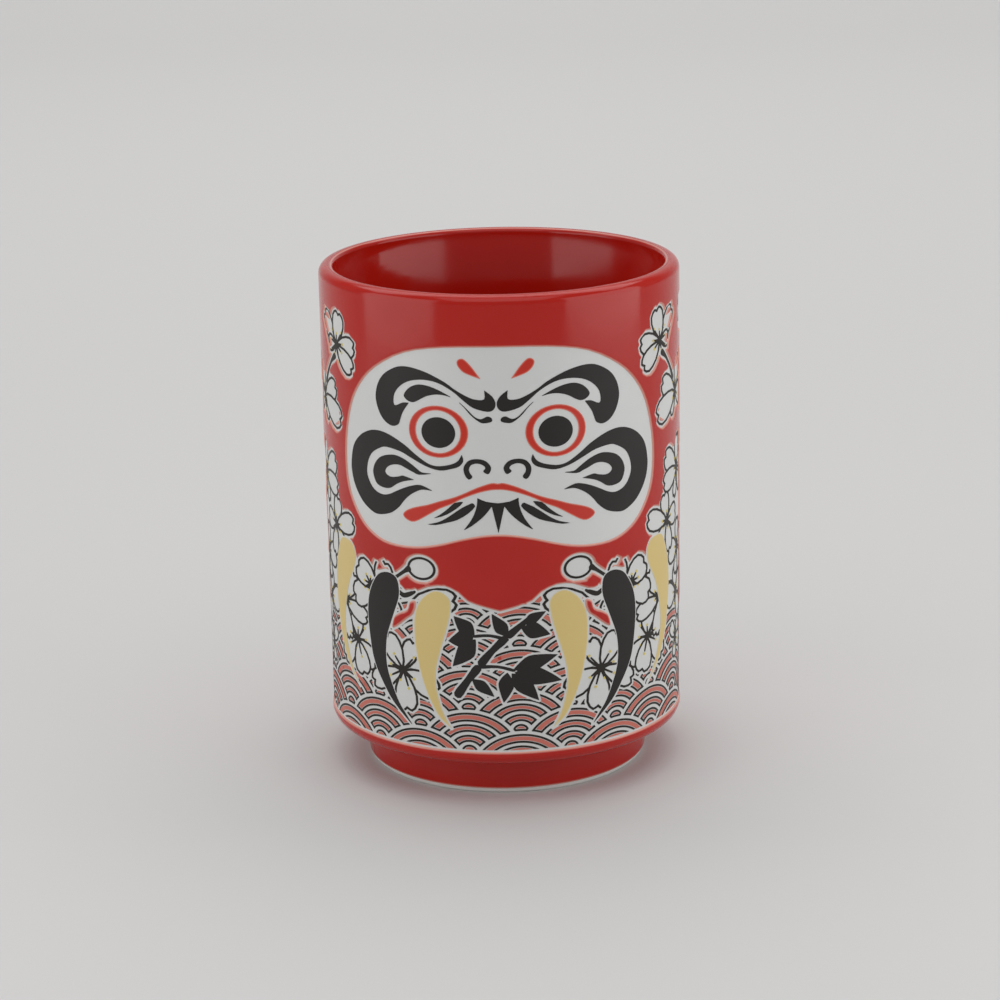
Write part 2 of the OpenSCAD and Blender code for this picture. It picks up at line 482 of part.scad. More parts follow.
module pupil(side) {
    color(BLACK) printed(PUPIL, side, EYE.x);
}

module nostril(side) {
    color(BLACK) printed(NOSTRIL, side, nostril_middle);
}

module cheek_scroll(side) {
    color(BLACK) {
        printed(CHEEK_OUTER, side, scroll_middle);
        printed(CHEEK_INNER, side, scroll_middle);
    }
}

module mouth() {
    color(RED) printed(MOUTH);
}

module moustache() {
    color(BLACK) {
        printed(MOUSTACHE_TUFT);
        for (side = [-1, 1], hair = MOUSTACHE_HAIRS) printed(hair, side, hair_middle);
    }
}

// ---------------------------------------------------------------- robe

module robe_fold(i, side) {
    color(i == 1 ? BLACK : YELLOW) printed(FOLDS[i], side, FOLD_MIDDLES[i]);
}

bleed = 0.02;        // how far a fine line spreads on the ground
fold_clear = 0.25;   // white left between a fine line and a robe fold
edge_clear = 0.3;    // white left between a fine line and the end of the ground
join = 0.01;         // how far the panels are grown so that they join

// Everything white near arc `at`, drawn flat
module white_area(at, inset) {
    offset(delta = -inset) difference() {
        for (side = [-1, 1]) {
            for (edge = ROBE_EDGES) {
                shape = concat(curve(edge, 2), [edge[len(edge) - 1], [edge[len(edge) - 1].x, robe_bottom],
                    [edge[0].x, robe_bottom]]);
                if (near(shape, at, side)) offset(delta = join) polygon(flat(shape, at, side));
            }
            if (near(SPRAY_EDGE, at, side)) polygon(flat(SPRAY_EDGE, at, side));
        }
        for (side = [-1, 1]) if (near(RED_GAP, at, side)) polygon(flat(RED_GAP, at, side));
    }
}

// The robe folds near arc `at`, with a margin
module fold_area(at, grow) {
    for (side = [-1, 1], fold = FOLDS)
        if (near(fold, at, side)) offset(delta = grow) polygon(flat(fold, at, side));
}

// Outlines of all petals, the ones in front hiding the ones behind
module petal_lines(at) {
    for (i = [0:len(PETALS) - 1]) difference() {
        offset(delta = line_w / 2) polygon(flat(PETALS[i], at));
        for (j = [i:len(PETALS) - 1]) offset(delta = -line_w / 2) polygon(flat(PETALS[j], at));
    }
}

// Each flower's stamens: a dark heart and filaments of uneven length that narrow outwards
filaments = 9;
function filament(flower, i) = flower[1] * (0.8 + 0.2 * sin(i * 140))
    * [cos(i * 360 / filaments + 12), sin(i * 360 / filaments + 12)];
function filament_outline(heart, d) = let (s = [-d.y, d.x] / norm(d))
    [heart + 0.25 * s, heart + d + 0.15 * s, heart + d - 0.15 * s, heart - 0.25 * s];
module stamens(at) {
    for (flower = STAMENS) {
        polygon(flat(oval(flower[0], [1, 1] * flower[1] * 0.22, 10), at));
        for (i = [0:filaments - 1]) polygon(flat(filament_outline(flower[0], filament(flower, i)), at));
    }
}

module spray_drawing() {
    intersection() {
        difference() {
            union() {
                petal_lines(bloom_middle);
                stamens(bloom_middle);
                for (twig = TWIGS) polygon(flat(twig, bloom_middle));
            }
            fold_area(bloom_middle, fold_clear);
        }
        white_area(bloom_middle, edge_clear);
    }
}

// A drawing of the right-hand sprays, on the side asked for
module spray_pad(side) {
    pad(at = side * bloom_middle) offset(delta = bleed) mirror([side < 0 ? 1 : 0, 0, 0]) children();
}

module blossom_lines(side) {
    color(BLACK) spray_pad(side) spray_drawing();
}

pollen_r = 0.34;
pollen_reach = 1.15;   // how far out the pollen sits, in filament lengths
module blossom_pollen(side) {
    color(YELLOW) spray_pad(side) intersection() {
        difference() {
            for (flower = STAMENS, i = [0:filaments - 1])
                polygon(flat(oval(flower[0] + pollen_reach * filament(flower, i), [pollen_r, pollen_r], 4),
                    bloom_middle));
            offset(delta = 4 * bleed) spray_drawing();
            fold_area(bloom_middle, fold_clear);
        }
        white_area(bloom_middle, edge_clear);
    }
}

// Centre of a wave scale, and one of its ovals
function scale_centre(row, column) = [wave_start + (column + (row % 2) / 2) * around / wave_count,
    first_row + wave_rise * row];
function scale_oval(centre, b) = oval(centre, [around / wave_count * oval_width * b, b], 16);
first_row = 7;       // height of the centres of the lowest scales
oval_width = 0.06;   // half width of an oval 1 mm high, as a part of a scale's pitch
WAVE_BANDS = [[5.6, 7.6], [0, 4.1]];
wave_rim = 8.4;      // where the next scale in front begins
wave_rows = 8;

module wave_fills(column) {
    at = scale_centre(0, column).x;
    offset(delta = bleed) intersection() {
        difference() {
            for (row = [0:wave_rows - 1]) {
                centre = scale_centre(row, column);
                difference() {
                    for (band = WAVE_BANDS) difference() {
                        polygon(flat(scale_oval(centre, band[1]), at));
                        if (band[0] > 0) polygon(flat(scale_oval(centre, band[0]), at));
                    }
                    for (shift = [-1, 1]) polygon(flat(scale_oval(centre
                        + [shift * around / wave_count / 2, -wave_rise], wave_rim), at));
                    polygon(flat(scale_oval(centre - [0, 2 * wave_rise], wave_rim), at));
                }
            }
            fold_area(at, margin);
            for (side = [-1, 1], p = concat(PETALS, TWIGS))
                if (near(p, at, side)) offset(delta = margin + line_w / 2) polygon(flat(p, at, side));
            if (abs(wrapped(at)) < 30) for (p = BAMBOO) offset(delta = margin) polygon(flat(p, at));
        }
        white_area(at, margin);
    }
}

module wave_scales() {
    color(WAVE_RED) for (column = [0:wave_count - 1])
        pad(at = scale_centre(0, column).x) wave_fills(column);
}

// ---------------------------------------------------------------- brushed bamboo

module brush_bamboo() {
    color(BLACK) pad() offset(delta = bleed) difference() {
        for (p = BAMBOO) polygon(flat(p));
        fold_area(0, fold_clear);
    }
}

module back_bamboo() {
    color(BLACK) {
        pad(at = around / 2) offset(delta = bleed) for (p = BACK) polygon(flat(p));
        pad(at = side_leaf_middle) offset(delta = bleed)
            for (p = SIDE_LEAVES) polygon(flat(p, side_leaf_middle));
    }
}

// ---------------------------------------------------------------- parts

porcelain_body();
inner_glaze();
outer_glaze();
base_glaze();
face_ground();
robe_ground();
spray_ground(-1);  // spray_ground_left
spray_ground(1);  // spray_ground_right
back_ground();
brow(-1);  // brow_left
brow(1);  // brow_right
forehead_mark(-1);  // forehead_mark_left
forehead_mark(1);  // forehead_mark_right
eye_ring(-1);  // eye_ring_left
eye_ring(1);  // eye_ring_right
pupil(-1);  // pupil_left
pupil(1);  // pupil_right
nostril(-1);  // nostril_left
nostril(1);  // nostril_right
cheek_scroll(-1);  // cheek_scroll_left
cheek_scroll(1);  // cheek_scroll_right
mouth();
moustache();
robe_fold(0, -1);  // robe_fold_inner_left
robe_fold(0, 1);  // robe_fold_inner_right
robe_fold(1, -1);  // robe_fold_middle_left
robe_fold(1, 1);  // robe_fold_middle_right
robe_fold(2, -1);  // robe_fold_outer_left
robe_fold(2, 1);  // robe_fold_outer_right
wave_scales();
blossom_lines(-1);  // blossom_lines_left
blossom_lines(1);  // blossom_lines_right
blossom_pollen(-1);  // blossom_pollen_left
blossom_pollen(1);  // blossom_pollen_right
brush_bamboo();
back_bamboo();
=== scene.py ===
# %% [markdown]
# # A red-glazed tea cup with a printed face
# A straight porcelain cup is decorated in three steps. A white ground that sheds
# glaze is printed on the bare wall, the drawing is printed on that ground in
# ceramic inks, and the cup is dipped in red glaze, which draws back from the
# print and stands round it with a soft, thin edge.
#
# The frame holds every outline of that drawing. This lesson reads them from the
# frame's own nodes and makes the finished surfaces from them.

# %% Load the frame
import math

import bpy
import numpy as np
from mathutils import Matrix, Vector
from mathutils.geometry import delaunay_2d_cdt


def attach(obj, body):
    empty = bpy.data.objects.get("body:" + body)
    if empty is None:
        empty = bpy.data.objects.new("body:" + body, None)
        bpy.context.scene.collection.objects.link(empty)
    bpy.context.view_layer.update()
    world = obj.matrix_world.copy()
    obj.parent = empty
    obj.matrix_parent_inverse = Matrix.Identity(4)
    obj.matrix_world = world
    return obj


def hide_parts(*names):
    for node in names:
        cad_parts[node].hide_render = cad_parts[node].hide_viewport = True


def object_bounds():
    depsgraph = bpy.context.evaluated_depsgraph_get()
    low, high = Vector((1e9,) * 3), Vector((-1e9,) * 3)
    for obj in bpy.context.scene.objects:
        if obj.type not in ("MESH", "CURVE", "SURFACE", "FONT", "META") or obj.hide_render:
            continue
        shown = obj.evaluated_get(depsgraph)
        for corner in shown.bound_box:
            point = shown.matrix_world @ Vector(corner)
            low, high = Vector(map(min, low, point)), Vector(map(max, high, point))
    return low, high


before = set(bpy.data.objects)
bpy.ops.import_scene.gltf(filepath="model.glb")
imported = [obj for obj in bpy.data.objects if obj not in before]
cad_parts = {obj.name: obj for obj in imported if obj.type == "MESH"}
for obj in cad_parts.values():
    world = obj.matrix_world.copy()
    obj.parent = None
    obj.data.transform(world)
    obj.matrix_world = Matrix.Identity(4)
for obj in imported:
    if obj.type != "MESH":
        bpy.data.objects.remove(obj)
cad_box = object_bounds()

print(len(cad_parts), "nodes in the frame")

# %% [markdown]
# ## Sizes
# Everything is measured from the frame: the cup's box gives its radius and
# height, the sections of the turned nodes give the bore and the foot, and the widest point of a node
# gives the radius that its layer reaches. Work on the wall is in millimetres.

# %% Sizes from the frame
MM = 0.001
CUP_R = cad_box[1].x / MM
CUP_H = cad_box[1].z / MM
AROUND = 2 * math.pi * CUP_R


def vertices(node):
    """A node's vertices in millimetres."""
    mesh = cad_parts[node].data
    co = np.empty(len(mesh.vertices) * 3)
    mesh.vertices.foreach_get("co", co)
    return co.reshape(-1, 3) / MM


def triangles(node):
    """A node's triangles, as rows of three vertex numbers."""
    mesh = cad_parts[node].data
    mesh.calc_loop_triangles()
    tris = np.empty(len(mesh.loop_triangles) * 3, int)
    mesh.loop_triangles.foreach_get("vertices", tris)
    return tris.reshape(-1, 3)


def reach(node):
    """The largest distance of a node from the cup's axis."""
    co = vertices(node)
    return float(np.hypot(co[:, 0], co[:, 1]).max())


WALL_R = reach("porcelain_body")
GROUND_R = reach("face_ground")
INK_R = reach("mouth")
COAT = CUP_R - WALL_R
print(f"cup {CUP_R:.1f} x {CUP_H:.1f}, porcelain {WALL_R:.2f}, ground {GROUND_R:.2f}, ink {INK_R:.2f}")

# %% [markdown]
# ## Smooth curves from sparse points
# The frame's curves are chains of short straight edges. A curve drawn through
# the same points, with each end's direction taken from its neighbours, looks as
# a brush or a potter's rib would leave it. It stays straight where a run is long
# and sharp where the chain turns a corner.


# %% Curves through points
def smooth(points, closed=True, step=0.3, corner=35.0):
    """Finer points along a curve through the points, and the directions there."""
    p = np.asarray(points, float)
    run = (np.roll(p, -1, 0) if closed else p[1:]) - (p if closed else p[:-1])
    run[:, 0] -= np.round(run[:, 0] / AROUND) * AROUND
    size = np.hypot(*run.T)
    way = run / size[:, None]
    if closed:
        before, after, sb, sa = np.roll(way, 1, 0), way, np.roll(size, 1), size
    else:
        before, after = np.vstack([way[:1], way]), np.vstack([way, way[-1:]])
        sb, sa = np.append(size[:1], size), np.append(size, size[-1:])
    mean = before * sa[:, None] + after * sb[:, None]
    mean = np.where((sb > 3 * sa)[:, None], before, np.where((sa > 3 * sb)[:, None], after, mean))
    mean /= np.hypot(*mean.T)[:, None]
    sharp = ((before * after).sum(1) < math.cos(math.radians(corner)))[:, None]
    out, back = np.where(sharp, after, mean), np.where(sharp, before, mean)
    fine, ways = [], []
    for i, length in enumerate(size):
        u = np.arange(max(1, math.ceil(length / step)))[:, None]
        u = u / len(u)
        m0, m1 = out[i] * length, back[(i + 1) % len(p)] * length
        fine.append(p[i] + u * m0 + u * u * (3 * run[i] - 2 * m0 - m1) + u**3 * (m0 + m1 - 2 * run[i]))
        ways.append(m0 + 2 * u * (3 * run[i] - 2 * m0 - m1) + 3 * u * u * (m0 + m1 - 2 * run[i]))
    fine, ways = np.concatenate(fine), np.concatenate(ways)
    if not closed:
        fine, ways = np.vstack([fine, p[-1]]), np.vstack([ways, back[-1]])
    return fine, ways / np.hypot(*ways.T)[:, None]


def simplify(points, tol=0.006, most=15):
    """The points of a chain that its shape needs, and none more than `most` apart."""
    keep = np.zeros(len(points), bool)
    keep[[0, -1]] = True
    spans = [(0, len(points) - 1)]
    if np.allclose(points[0], points[-1]):
        far = int(np.hypot(*(points - points[0]).T).argmax())
        keep[far] = True
        spans = [(0, far), (far, len(points) - 1)]
    while spans:
        a, b = spans.pop()
        if b - a < 2:
            continue
        d, w = points[b] - points[a], points[a + 1:b] - points[a]
        off = np.abs(w[:, 0] * d[1] - w[:, 1] * d[0]) / max(np.hypot(*d), 1e-9)
        split = a + 1 + int(off.argmax()) if off.max() > tol else (a + b) // 2
        if off.max() > tol or b - a > most:
            keep[split] = True
            spans += [(a, split), (split, b)]
    return points[keep]


# %% [markdown]
# ## Unrolling the wall
# A drawing that goes round a cup is easiest to think of as a flat sheet: arc
# along the wall from the middle of the face, and height. A node's outline on
# that sheet is the border of its outermost skin: the edges that only one of the
# skin's triangles uses. Each edge keeps its direction, with the shape on its left.


# %% Read outlines and sections from the frame
def chain(pairs):
    """Directed edges joined end to end, as lists of point numbers."""
    ways = {}
    for a, b in pairs.tolist():
        ways.setdefault(a, []).append(b)
    ends = set(ways) - set(pairs[:, 1].tolist())
    runs = []
    for start in [*ends, *ways]:
        while ways[start]:
            run = [start, ways[start].pop()]
            while run[-1] != start and ways.get(run[-1]):
                run.append(ways[run[-1]].pop())
            runs.append(run)
    return runs


def outlines(node, slack=0.012, least=0.03):
    """The border loops of a node's outer skin, as arcs and heights."""
    co, tris = vertices(node), triangles(node)
    radius = np.hypot(co[:, 0], co[:, 1])
    arc = np.arctan2(co[:, 0], -co[:, 1]) * CUP_R
    key = np.round(np.stack([arc, co[:, 2]], 1), 3)
    spots, spot = np.unique(key, axis=0, return_inverse=True)
    skin = spot.reshape(-1)[tris[(radius[tris] > radius.max() - slack).all(1)]]
    pairs = np.concatenate([skin[:, [0, 1]], skin[:, [1, 2]], skin[:, [2, 0]]])
    pairs = pairs[pairs[:, 0] != pairs[:, 1]]
    _, first, uses = np.unique(np.sort(pairs, 1) @ [len(spots), 1], return_index=True,
                               return_counts=True)
    loops = []
    for run in chain(pairs[first[uses == 1]]):
        points = spots[run[:-1]]
        gap = np.roll(points, -1, 0) - points
        points = points[np.hypot(gap[:, 0] - np.round(gap[:, 0] / AROUND) * AROUND, gap[:, 1]) > least]
        if len(points) > 2:
            loops.append(points)
    return loops


def section(node):
    """A turned node's outline in one half-plane: (radius, height) from its lower inner end."""
    co, tris = vertices(node), triangles(node)
    half = (np.abs(co[:, 1]) < 0.002) & (co[:, 0] > -0.002)
    spots, spot = np.unique(np.round(co[:, [0, 2]], 3), axis=0, return_inverse=True)
    pairs = np.concatenate([tris[:, [0, 1]], tris[:, [1, 2]], tris[:, [2, 0]]])
    pairs = np.sort(spot.reshape(-1)[pairs[half[pairs].all(1)]], 1)
    pairs = np.unique(pairs[pairs[:, 0] != pairs[:, 1]], axis=0)
    near = {}
    for a, b in pairs.tolist():
        near.setdefault(a, set()).add(b)
        near.setdefault(b, set()).add(a)
    run = [min((k for k in near if len(near[k]) == 1), key=lambda k: spots[k][1])]
    while near[run[-1]]:
        nxt = near[run[-1]].pop()
        near[nxt].discard(run[-1])
        run.append(nxt)
    return spots[run]


print(len(outlines("blossom_lines_right")), "loops in the right-hand blossoms")
print(len(section("porcelain_body")), "points in the body's section")

# %% [markdown]
# ## Distance fields
# Line work, halos and a glaze edge are all the same thing: places at a certain
# distance from a drawn outline. So each outline becomes a field on a fine grid
# over the sheet, holding the distance to the outline, negative inside the shape.
# Joining two shapes is then a minimum, cutting is a maximum, and a margin is a
# sum. The grid joins itself at the back of the cup.

# %% The grid and the field of an outline
GRID = 0.1            # spacing of the grid, in millimetres
LOW, LIP = 8.0, 2.8   # where the grid starts, and how far under the top it ends
SPECK = 12            # a contour with fewer points than this is a speck
COLUMNS = round(AROUND / GRID)
PITCH = AROUND / COLUMNS
ROWS = round((CUP_H - LIP - LOW) / GRID)
ARC = np.arange(COLUMNS) * PITCH - AROUND / 2
HEIGHT = np.arange(ROWS) * GRID + LOW


def field(loops, near=1.0):
    """Signed distance to some loops, cut off at `near` millimetres."""
    dist = np.full((ROWS, COLUMNS), near, np.float32)
    turns = np.zeros((ROWS + 1, COLUMNS), np.int32)
    for loop in loops:
        points = smooth(loop)[0]
        run = np.roll(points, -1, 0) - points
        run[:, 0] -= np.round(run[:, 0] / AROUND) * AROUND
        for (x0, z0), (dx, dz) in zip(points, run):
            lo, hi = min(x0, x0 + dx), max(x0, x0 + dx)
            cols = np.arange(math.ceil((lo - ARC[0]) / PITCH), math.ceil((hi - ARC[0]) / PITCH))
            if len(cols):
                z = z0 + dz * (cols * PITCH + ARC[0] - x0) / dx
                rows = np.clip(np.ceil((z - LOW) / GRID).astype(int), 0, ROWS)
                np.add.at(turns, (rows, cols % COLUMNS), 1 if dx > 0 else -1)
            cols = np.arange(math.floor((lo - near - ARC[0]) / PITCH),
                             math.ceil((hi + near - ARC[0]) / PITCH) + 1)
            r0 = max(0, math.floor((min(z0, z0 + dz) - near - LOW) / GRID))
            r1 = min(ROWS, math.ceil((max(z0, z0 + dz) + near - LOW) / GRID) + 1)
            if r1 > r0:
                px, pz = cols * PITCH + ARC[0] - x0, HEIGHT[r0:r1, None] - z0
                t = np.clip((px * dx + pz * dz) / (dx * dx + dz * dz + 1e-12), 0, 1)
                spot = np.ix_(np.arange(r0, r1), cols % COLUMNS)
                dist[spot] = np.minimum(dist[spot], np.hypot(px - t * dx, pz - t * dz))
    return np.where(np.cumsum(turns, 0)[:ROWS] > 0, -dist, dist)


def area(loop):
    """The signed area inside a loop, positive if the loop is the outside of a shape."""
    return 0.5 * float(np.cross(loop, np.roll(loop, -1, 0)).sum())


def field_of(*nodes, near=1.0):
    """The field of some nodes together."""
    return field([loop for node in nodes for loop in outlines(node)], near)


def sample(f, arc, height):
    """A field's value between its grid points."""
    c = (np.asarray(arc, float) - ARC[0]) / PITCH
    r = np.clip((np.asarray(height, float) - LOW) / GRID, 0, ROWS - 1.001)
    c0, r0 = np.floor(c).astype(int), np.floor(r).astype(int)
    u, v = c - c0, r - r0
    a, b = c0 % COLUMNS, (c0 + 1) % COLUMNS
    return (f[r0, a] * (1 - u) + f[r0, b] * u) * (1 - v) + (f[r0 + 1, a] * (1 - u) + f[r0 + 1, b] * u) * v


# %% [markdown]
# ## From fields back to shapes
# A contour walks the grid's cells along one value of a field. A sheet fills the
# inside of a contour with triangles: it keeps the contour's points as edges, and
# scatters a few points inside so that the sheet can bend round the wall.

# %% Contours
# For each pattern of a cell's corners below the level: the sides its contour enters and leaves
CELL_SIDES = {1: [(0, 3)], 2: [(1, 0)], 3: [(1, 3)], 4: [(2, 1)], 5: [(0, 3), (2, 1)], 6: [(2, 0)],
              7: [(2, 3)], 8: [(3, 2)], 9: [(0, 2)], 10: [(1, 0), (3, 2)], 11: [(1, 2)],
              12: [(3, 1)], 13: [(0, 1)], 14: [(3, 0)]}


def contour(f, level, joined=False):
    """Chains of (arc, height) where a field has one value, smaller values on the left.
    They stop at the back of the cup, unless they are joined there into loops."""
    g = np.column_stack([f, f[:, 0]]).astype(float) - level
    g[g == 0] = 1e-9
    wide = g.shape[1]
    inside = g < 0
    code = (inside[:-1, :-1] * 1 + inside[:-1, 1:] * 2 + inside[1:, 1:] * 4 + inside[1:, :-1] * 8)
    rows, cols = np.nonzero((code > 0) & (code < 15))
    code = code[rows, cols]
    corner = rows * wide + cols
    side = [corner * 2, (corner + 1) * 2 + 1, (corner + wide) * 2, corner * 2 + 1]
    pairs = np.concatenate([np.stack([side[a][code == k], side[b][code == k]], 1)
                            for k, ways in CELL_SIDES.items() for a, b in ways])
    if joined:
        pairs = np.where((pairs // 2) % wide == wide - 1, pairs - 2 * (wide - 1), pairs)
    runs = []
    flat = g.ravel()
    for run in chain(pairs):
        at, up = np.divmod(np.array(run), 2)
        other = at + np.where(up, wide, 1)
        t = flat[at] / (flat[at] - flat[other])
        r, c = np.divmod(at, wide)
        runs.append(np.stack([ARC[0] + (c + np.where(up, 0, t)) * PITCH,
                              LOW + (r + np.where(up, t, 0)) * GRID], 1))
    return runs


def redrawn(f, level, near, keep=lambda run: True):
    """A field measured afresh from one contour of another, where some contours may be left out."""
    runs = [run for run in contour(f, level, joined=True) if len(run) > SPECK and keep(run)]
    return field([simplify(run)[:-1] for run in runs], near)


# %% [markdown]
# A sheet needs edges where its border lies and where its coat starts to rise, a
# seam at the back of the cup, and a scatter of points between them. The two
# sides of the seam are joined once the triangles are made.


# %% Sheets
ROW_SHARE = 0.87     # a row's height over the gap between points, for nearly equal triangles
CLEAR_SHARE = 0.3    # points keep this share of a gap from every edge
FLAT_TRIANGLE = 1e-7


def sheet(f, levels=(0.0,), gap=1.5, span=None, rows=()):
    """Flat points and triangles over the inside of a field, with edges along some depths.
    A span of heights makes the sheet run on past the wall, round the corner and the lip."""
    points, edges, seam = [], [], list(rows)
    for level in levels:
        for run in contour(f, -level):
            closed = np.allclose(run[0], run[-1])
            if len(run) < SPECK / 2:
                continue
            run = simplify(run)
            if closed:
                run = run[:-1]
            else:
                seam += [z for x, z in run[[0, -1]] if x < ARC[0] + PITCH / 2]
            ids = list(range(len(points), len(points) + len(run)))
            points += run.tolist()
            edges += list(zip(ids, ids[1:])) + ([(ids[-1], ids[0])] if closed else [])
    low, high = span or (HEIGHT[0], HEIGHT[-1])
    count = round(AROUND / gap)
    inner = np.arange(low + gap, high - gap / 2, gap * ROW_SHARE)
    if span:
        inner = inner[(inner > wall_s[0] + gap) & (inner < wall_s[1] - gap / 2)]
    arcs = ARC[0] + (np.arange(count) + 0.5) * AROUND / count
    fill = [np.stack([arcs + (i % 2 - 0.5) * AROUND / count / 2, np.full(count, z)], 1)
            for i, z in enumerate(inner)]
    fill += [np.stack([arcs, np.full(count, z)], 1) for z in rows if low < z < high]
    fill = np.concatenate(fill)
    depth = -sample(f, *fill.T)
    clear = np.min([np.abs(depth - level) for level in levels], 0)
    deep = depth > max(levels) + CLEAR_SHARE * gap
    points += fill[deep | ((depth > 0) & (clear > CLEAR_SHARE * gap))].tolist()
    edge_value = f[:, 0]
    if span or (edge_value < 0).any():
        seam += [z for z in inner if sample(f, ARC[0], z) < 0]
        seam = sorted(set(np.round(seam, 6)) | set(np.round(span or [], 6)))
        for x in (ARC[0], ARC[0] + AROUND):
            first = len(points)
            points += [[x, z] for z in seam]
            edges += [(first + i, first + i + 1) for i in range(len(seam) - 1)
                      if sample(f, ARC[0], (seam[i] + seam[i + 1]) / 2) < 0]
    for z in span or ():
        first = len(points)
        points += [[x, z] for x in [ARC[0], *arcs, ARC[0] + AROUND]]
        edges += [(first + i, first + i + 1) for i in range(count + 1)]
    co, _, faces, *_ = delaunay_2d_cdt([Vector(p) for p in points], edges, [], 0, 1e-5)
    co, tris = np.array([tuple(p) for p in co]), np.array(faces)
    middle = co[tris].mean(1)
    d1, d2 = co[tris[:, 1]] - co[tris[:, 0]], co[tris[:, 2]] - co[tris[:, 0]]
    twice = d1[:, 0] * d2[:, 1] - d1[:, 1] * d2[:, 0]
    tris[twice < 0] = tris[twice < 0][:, ::-1]
    keep = (sample(f, *middle.T) < 0) & (np.abs(twice) > FLAT_TRIANGLE)
    if span:
        keep &= (middle[:, 1] > span[0]) & (middle[:, 1] < span[1])
    tris = tris[keep]
    wrapped = np.where(co[:, 0] > ARC[0] + AROUND - 1e-4, co[:, 0] - AROUND, co[:, 0])
    _, first, same = np.unique(np.round(np.stack([wrapped, co[:, 1]], 1), 4), axis=0,
                               return_index=True, return_inverse=True)
    tris = first[same.reshape(-1)[tris]]
    tris = tris[(tris[:, 0] != tris[:, 1]) & (tris[:, 1] != tris[:, 2]) & (tris[:, 2] != tris[:, 0])]
    used, tris = np.unique(tris, return_inverse=True)
    return co[used], tris.reshape(-1, 3)


# %% [markdown]
# A sheet becomes a piece when it is wrapped twice, at its outer and its inner
# depth, and its border is walled. The outer skin carries exact normals, so that
# a reflection runs across it as across one smooth surface.


# %% Pieces from sheets
FULL_COAT = 9.0   # a distance from the edge at which every coat has its full colour


def on_wall(co, radius):
    """Flat points wrapped at a radius, and the directions straight out from the wall."""
    turn = co[:, 0] / CUP_R
    out = np.stack([np.sin(turn), -np.cos(turn), np.zeros(len(co))], 1)
    return out * np.reshape(radius, (-1, 1)) + co[:, 1:2] * [0, 0, 1], out


def piece(name, co, faces, material, nodes, normals=None, edge=None):
    """One finished piece that stands for some of the frame's nodes."""
    mesh = bpy.data.meshes.new(name)
    mesh.from_pydata((np.asarray(co) * MM).tolist(), [], [list(map(int, f)) for f in faces])
    mesh.polygons.foreach_set("use_smooth", [True] * len(mesh.polygons))
    attribute = mesh.attributes.new("edge", "FLOAT", "POINT")
    attribute.data.foreach_set("value", np.full(len(co), FULL_COAT) if edge is None else edge)
    if normals is not None:
        mesh.normals_split_custom_set(normals.tolist())
    mesh.materials.append(material)
    obj = bpy.data.objects.new(name, mesh)
    bpy.context.scene.collection.objects.link(obj)
    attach(obj, "root")
    if nodes:
        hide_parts(*nodes)
    print(f"{name}: {len(co)} points, {len(faces)} faces")
    return obj


def shell(name, tris, outer, inner, out, material, nodes, edge=None):
    """A closed piece between two wrapped copies of a sheet."""
    n = len(outer)
    pairs = np.concatenate([tris[:, [0, 1]], tris[:, [1, 2]], tris[:, [2, 0]]])
    code, back = pairs @ [n, 1], pairs @ [1, n]
    rim = pairs[~np.isin(code, back)]
    walls = np.column_stack([rim[:, 0], rim[:, 0] + n, rim[:, 1] + n, rim[:, 1]])
    co = np.concatenate([outer, inner])
    side = np.cross(co[walls[:, 1]] - co[walls[:, 0]], co[walls[:, 3]] - co[walls[:, 0]])
    side /= np.linalg.norm(side, axis=1)[:, None] + 1e-12
    normals = np.concatenate([out[tris].reshape(-1, 3), -out[tris[:, ::-1]].reshape(-1, 3),
                              np.repeat(side, 4, 0)])
    faces = [*tris.tolist(), *(tris[:, ::-1] + n).tolist(), *walls.tolist()]
    edge = None if edge is None else np.concatenate([edge, edge])
    return piece(name, co, faces, material, nodes, normals, edge)


def pad(name, f, material, nodes, r0, r1, gap=2.0, levels=(0.0,)):
    """A printed layer over the inside of a field, between two radii."""
    co, tris = sheet(f, levels, gap)
    outer, out = on_wall(co, r1)
    inner, _ = on_wall(co, r0)
    edge = np.clip(-sample(f, *co.T), 0, None)
    return shell(name, tris, outer, inner, out, material, nodes, edge)


def turned(name, points, material, nodes, count=240, edge=None, lean=None):
    """A piece turned from a closed section. `lean` tips its shading upwards, ring by ring."""
    co, faces, rings = [], [], []
    for r, z in points:
        if r < 1e-6:
            rings.append([len(co)])
            co.append((0, 0, z))
        else:
            rings.append(list(range(len(co), len(co) + count)))
            co += [(r * math.sin(a), -r * math.cos(a), z)
                   for a in np.arange(count) * 2 * math.pi / count]
    pairs = list(zip(rings, rings[1:] if len(rings[0]) == 1 else rings[1:] + rings[:1]))
    for a, b in pairs:
        for i in range(count):
            j = (i + 1) % count
            quad = [a[i % len(a)], a[j % len(a)], b[j % len(b)], b[i % len(b)]]
            faces.append(list(dict.fromkeys(quad)))
    values = None if edge is None else np.concatenate(
        [np.full(len(ring), e) for ring, e in zip(rings, edge)])
    obj = piece(name, co, faces, material, nodes, None, values)
    if lean is not None:
        facing = np.empty(len(co) * 3)
        obj.data.vertex_normals.foreach_get("vector", facing)
        facing = facing.reshape(-1, 3)
        facing[:, 2] += np.concatenate([np.full(len(ring), a) for ring, a in zip(rings, lean)])
        facing /= np.linalg.norm(facing, axis=1)[:, None]
        obj.data.normals_split_custom_set_from_vertices(facing)
    return obj


# %% [markdown]
# ## Finishes
# Fired glaze and printed ink share two effects: a colour that pales where the
# layer thins at its edge, and a slight unevenness in tone and level. Each is a
# node group here. The groups read the `edge` value of a mesh, the distance in
# millimetres to the nearest edge of the layer.


